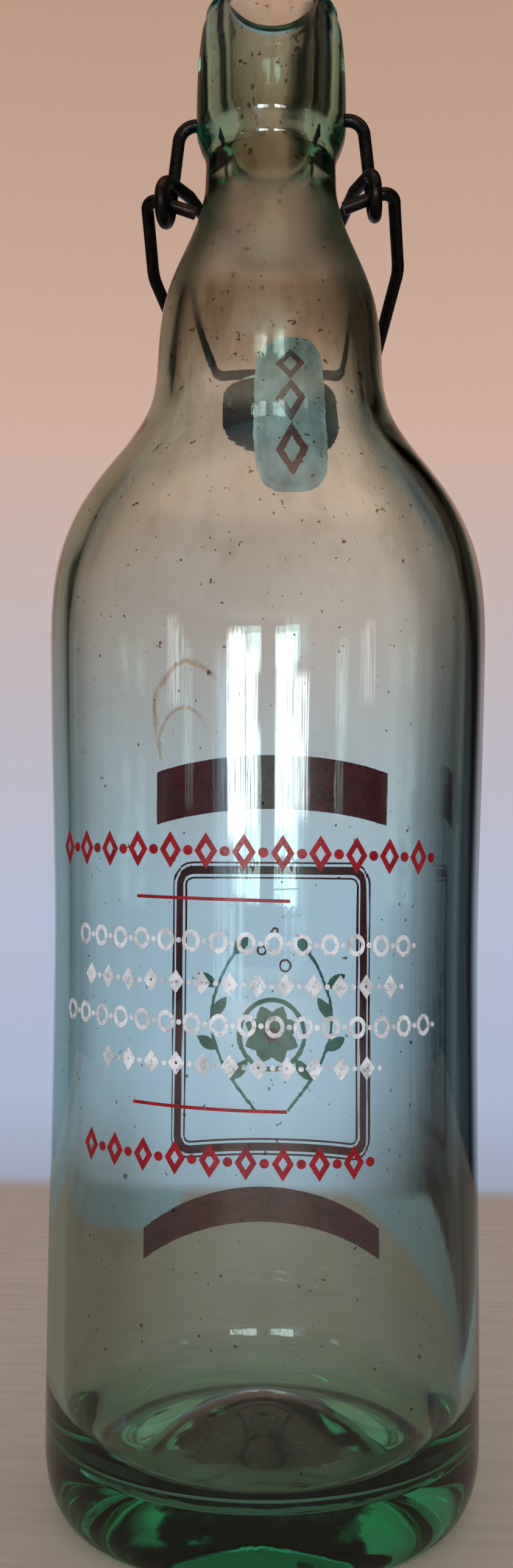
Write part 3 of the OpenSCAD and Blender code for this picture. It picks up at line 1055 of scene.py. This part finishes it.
# Each pane: its name, its width and height, its turn from the camera in degrees, the height of its middle,
# its radiance as a share of the stage's lamp, and its red as a share of its blue
WINDOWS = (
    ("left_pane", 0.21, 0.26, -15.5, 0.21, 1.6, 0.93),
    ("left_curtain", 0.16, 0.22, -8, 0.2, 0.8, 0.93),
    ("right_pane", 0.21, 0.24, 8.5, 0.21, 1.5, 0.93),
    ("right_curtain", 0.2, 0.18, 17, 0.19, 0.6, 0.93),
    ("left_glow", 0.4, 0.4, -19, 0.13, 0.11, 0.6),
    ("far_left_pane", 0.16, 0.16, -48, 0.3, 0.16, 0.93),
    ("far_right_pane", 0.14, 0.14, 52, 0.3, 0.12, 0.93),
)

# Distance of the panes from the axis, and the place on the axis that they face
PANE_DISTANCE = 1.25
PANE_AIM = Vector((0, 0, 0.17))

# The camera's sensor in millimetres, the nearest thing it sees, and its shifts in pixels of the photo
SENSOR = 36
NEAREST = 10 * MM
PHOTO_HEIGHT = 2576
SHIFT_RIGHT = -16
SHIFT_UP = 114

# The wall's colours by height, from below to above; the lowest is painted shade at the wall's foot
PALE = (
    (0.0, (0.2, 0.2, 0.25)),
    (0.156, (0.42, 0.48, 0.64)),
    (0.289, (0.47, 0.51, 0.66)),
    (0.469, (0.54, 0.475, 0.5)),
    (0.64, (0.64, 0.43, 0.35)),
    (0.886, (0.5, 0.32, 0.23)),
)
CEILING = (1.3, 0.9, 0.7)

# The lights and gaps that glass and metal show, by turn in degrees from the far side to the right: each
# one's place and level
ROOM = (
    (0, 1), (2.5, 0.97), (5, 0.72), (8.5, 0.5), (12.5, 0.1), (17, 0.005), (28, 0.005), (34, 0.12),
    (54, 0.12), (58, 0.02), (69, 0.02), (75, 0.5), (105, 0.5), (110, 0.03), (122, 0.03), (128, 0.12),
    (178, 0.12), (184, 0.02), (196, 0.02), (202, 0.12), (236, 0.12), (240, 0.03), (250, 0.03), (255, 0.5),
    (284, 0.5), (290, 0.03), (306, 0.03), (314, 0.52), (342, 0.8), (347, 0.84), (353, 1), (360, 1),
)

# What the room's colour is multiplied by below and above, as glass and metal show it
TONE_BELOW = (1.17, 1.19, 1.2, 1)
TONE_ABOVE = (1.28, 1.06, 1.03, 1)


def table_material(s):
    """A pale matt table top with a faint grain; the glass shows it in painted shade and painted reflection.
    """
    material, shader, place = surface("table_top")
    lines = ramp(grain(place, 30, 5, (1, 12, 1)), 0.3, 0.7, 0.9, 1.0)
    ray = node(place.id_data, "ShaderNodeLightPath").outputs
    x, y, _ = axes(place)
    # Stretches where the glass shows a painted bluish reflection on the table
    right = ramp(plus(x, times(y, 0.31)), 0.1, 0.112)
    far_left = times(ramp(x, -0.058, -0.066), ramp(y, 0.2, 0.22))
    blue = times(sums("MAXIMUM", right, far_left), ray["Is Transmission Ray"])
    # A stretch where the glass shows painted shade on the table, to the right behind the bottle
    dark = ramp(plus(x, times(y, 0.13)), 0.107, 0.117)
    dark = times(dark, ray["Is Transmission Ray"])
    dark = times(dark, ramp(y, 0.03, 0.07, 0.0, 0.95))
    # Rays other than the camera's see the table darker: painted shade of the bottle's shadow
    indirect = blend_colours(blue, opaque([0.88 * c for c in s.table]), TABLE_PAINTED_REFLECTION)
    indirect = blend_colours(dark, indirect, TABLE_PAINTED_SHADE)
    plain = blend_colours(ray["Is Camera Ray"], indirect, opaque([1.1 * c for c in s.table]))
    edge = ramp(y, s.table_back, s.table_back - 30 * MM)
    give(shader, {"Base Color": scaled(plain, lines), "Alpha": edge})
    give(shader, {"Roughness": 0.7, "Specular IOR Level": 0.1})
    return material


def table_top(s):
    """The table that the bottle stands on."""
    table = bmesh.new()
    front = [(-TABLE_HALF, -TABLE_FRONT, 0), (TABLE_HALF, -TABLE_FRONT, 0)]
    back = [(TABLE_HALF, s.table_back, 0), (-TABLE_HALF, s.table_back, 0)]
    top = table.faces.new([table.verts.new(place) for place in front + back])
    lower = bmesh.ops.extrude_face_region(table, geom=[top])["geom"]
    lower = [v for v in lower if isinstance(v, bmesh.types.BMVert)]
    bmesh.ops.translate(table, verts=lower, vec=(0, 0, -TABLE_THICKNESS))
    bmesh.ops.recalc_face_normals(table, faces=table.faces)
    floor = placed_mesh("table_top", table)
    floor.data.materials.append(table_material(s))


def pane_light(lamp):
    """Gives a lamp the streaks and soft edges of a curtained pane."""
    lamp.use_nodes = True
    spot = node(lamp.node_tree, "ShaderNodeNewGeometry").outputs["Parametric"]
    x, y, _ = axes(spot)
    folds = ramp(grain(spot, 14, 4, (1, 0.08, 1)), 0.4, 0.6, 0.12, 1.6)
    edges = times(ramp(gap(x, 0.5), 0.5, 0.34), ramp(gap(y, 0.5), 0.5, 0.34))
    give(lamp.node_tree.nodes["Emission"], {"Strength": times(times(folds, edges), 1.25)})


def pane(s, name, wide, tall, turn, height, share, warmth):
    """One pane: an area lamp that faces the bottle and that the camera doesn't see."""
    lamp = bpy.data.lights.new(name, "AREA")
    lamp.shape = "RECTANGLE"
    lamp.size, lamp.size_y = wide, tall
    lamp.energy = share * s.lamp * pi * wide * tall
    lamp.color = (warmth, (1 + warmth) / 2, 1.0)
    pane_light(lamp)
    holder = bpy.data.objects.new(name, lamp)
    bpy.context.scene.collection.objects.link(holder)
    around = radians(turn) + s.azimuth
    holder.location = (PANE_DISTANCE * sin(around), -PANE_DISTANCE * cos(around), height)
    holder.rotation_euler = (PANE_AIM - holder.location).to_track_quat("-Z", "Y").to_euler()
    holder.visible_camera = False


def photo_camera(s):
    """The camera, which stands where the photo was taken from."""
    view = bpy.data.cameras.new("camera")
    view.lens = s.lens
    view.sensor_width = SENSOR
    view.shift_x = SHIFT_RIGHT / PHOTO_HEIGHT
    view.shift_y = SHIFT_UP / PHOTO_HEIGHT
    view.clip_start = NEAREST
    camera = bpy.data.objects.new("camera", view)
    bpy.context.scene.collection.objects.link(camera)
    level = Matrix.Rotation(s.azimuth, 4, "Z") @ Matrix.Rotation(pi / 2, 4, "X")
    place = (s.distance * sin(s.azimuth), -s.distance * cos(s.azimuth), s.eye)
    camera.matrix_world = Matrix.Translation(place) @ level @ Matrix.Rotation(s.roll, 4, "Z")
    bpy.context.scene.camera = camera


def banded(value, stops):
    """A colour that runs through stops, each a place and a colour."""
    made = node(value.id_data, "ShaderNodeValToRGB", {0: value})
    marks = made.color_ramp.elements
    marks[0].position, marks[0].color = stops[0][0], opaque(stops[0][1])
    marks[1].position, marks[1].color = stops[-1][0], opaque(stops[-1][1])
    for place, rgb in stops[1:-1]:
        marks.new(place).color = opaque(rgb)
    return made.outputs[0]


def room_levels(turn, z):
    """The room's lights and gaps by turn, which lean over with height."""
    lean = times(sums("MAXIMUM", z, 0.0), radians(32))
    lean = plus(lean, times(sums("MINIMUM", z, 0.0), radians(20)))
    lean = times(lean, ramp(z, 0.4, 0.27))
    shifted = plus(minus(turn, lean), 4 * pi)
    share = sums("DIVIDE", sums("MODULO", shifted, 2 * pi), 2 * pi)
    return banded(share, [(way / 360, 3 * (level,)) for way, level in ROOM])


def dimming(turn, z, reflected):
    """The share of the room's light left: less in reflections, on the right and beside the middle."""
    left = ramp(reflected, 0.0, 1.0, 1.0, 0.45)
    left = times(left, ramp(turn, radians(1.5), radians(8), 1.0, 0.72))
    aside = ramp(turn, radians(2), radians(9), 0.0, 0.25)
    aside = times(aside, ramp(turn, radians(30), radians(20)))
    aside = times(aside, ramp(z, -0.08, 0.06))
    return times(left, minus(1.0, aside))


def surroundings(s):
    """A plain pale room, cool below and warm above, with dark gaps that only glass and metal show."""
    world = bpy.data.worlds.new("room")
    bpy.context.scene.world = world
    world.use_nodes = True
    tree = world.node_tree
    tree.nodes.clear()
    x, y, z = axes(node(tree, "ShaderNodeTexCoord").outputs["Generated"])
    pale = banded(sums("DIVIDE", plus(z, 0.3), 0.9), PALE)
    turn = sums("ARCTAN2", x, y)
    room = blend_colours(1.0, pale, room_levels(turn, z), "MULTIPLY")
    ray = node(tree, "ShaderNodeLightPath").outputs
    mirrored = minus(ray["Is Glossy Ray"], ray["Is Transmission Ray"])
    behind = times(mirrored, ramp(y, 0.8, 0.93))
    room = blend_colours(behind, room, pale)
    tone = blend_colours(ramp(z, -0.02, 0.16), TONE_BELOW, TONE_ABOVE)
    room = result("ShaderNodeVectorMath", {0: room, 1: tone}, operation="MULTIPLY")
    room = scaled(room, dimming(turn, z, minus(mirrored, behind)))
    ceiling = blend_colours(mirrored, opaque([0.45 * c for c in CEILING]), opaque(CEILING))
    ahead = times(ramp(z, 0.95, 0.86), minus(1.0, mirrored))
    above = sums("MAXIMUM", ramp(y, 0.05, -0.25), ahead)
    above = times(above, ramp(z, 0.58, 0.74))
    room = blend_colours(above, room, ceiling)
    seen = blend_colours(ray["Is Camera Ray"], room, pale)
    lit = blend_colours(ray["Is Diffuse Ray"], seen, (s.fill, s.fill, s.fill, 1))
    light = result("ShaderNodeBackground", {"Color": lit, "Strength": 1.0})
    node(tree, "ShaderNodeOutputWorld", {"Surface": light})


class SODA_OT_stage(SodaStep, bpy.types.Operator):
    """Set the table, the pale surroundings, the panes and the camera"""

    bl_idname = "soda.stage"
    bl_label = "Stage"

    def execute(self, context):
        s = context.scene.soda_stage
        table_top(s)
        surroundings(s)
        for row in WINDOWS:
            pane(s, *row)
        photo_camera(s)
        context.scene.view_settings.view_transform = "Standard"
        return {"FINISHED"}


class SODA_PT_sidebar(bpy.types.Panel):
    """Lists the steps that dress the bottle."""

    bl_idname = "SODA_PT_sidebar"
    bl_label = "Soda Bottle"
    bl_space_type = "VIEW_3D"
    bl_region_type = "UI"
    bl_category = "Soda Bottle"

    def draw(self, context):
        for step in STEPS:
            self.layout.operator(step.bl_idname)
        for name in GROUPS:
            sizes = getattr(context.scene, name)
            box = self.layout.box()
            for field in sizes.__annotations__:
                box.prop(sizes, field, text=field.replace("_", " ").capitalize())


STEPS = (
    SODA_OT_stage, SODA_OT_glass, SODA_OT_near_print, SODA_OT_far_print, SODA_OT_neck_patch, SODA_OT_closure,
)
GROUPS = {
    "soda_glass": SodaGlassSizes,
    "soda_prints": SodaPrintSizes,
    "soda_closure": SodaClosureSizes,
    "soda_stage": SodaStageSizes,
}


def register():
    """Registers the sizes, the steps and the sidebar."""
    for name, group in GROUPS.items():
        bpy.utils.register_class(group)
        setattr(bpy.types.Scene, name, PointerProperty(type=group))
    for step in STEPS:
        bpy.utils.register_class(step)
    bpy.utils.register_class(SODA_PT_sidebar)


def unregister():
    """Takes back what register added."""
    bpy.utils.unregister_class(SODA_PT_sidebar)
    for step in reversed(STEPS):
        bpy.utils.unregister_class(step)
    for name, group in GROUPS.items():
        delattr(bpy.types.Scene, name)
        bpy.utils.unregister_class(group)


def main():
    """Runs every step in order."""
    register()
    for step in STEPS:
        group, name = step.bl_idname.split(".")
        getattr(getattr(bpy.ops, group), name)()


if __name__ == "__main__":
    main()
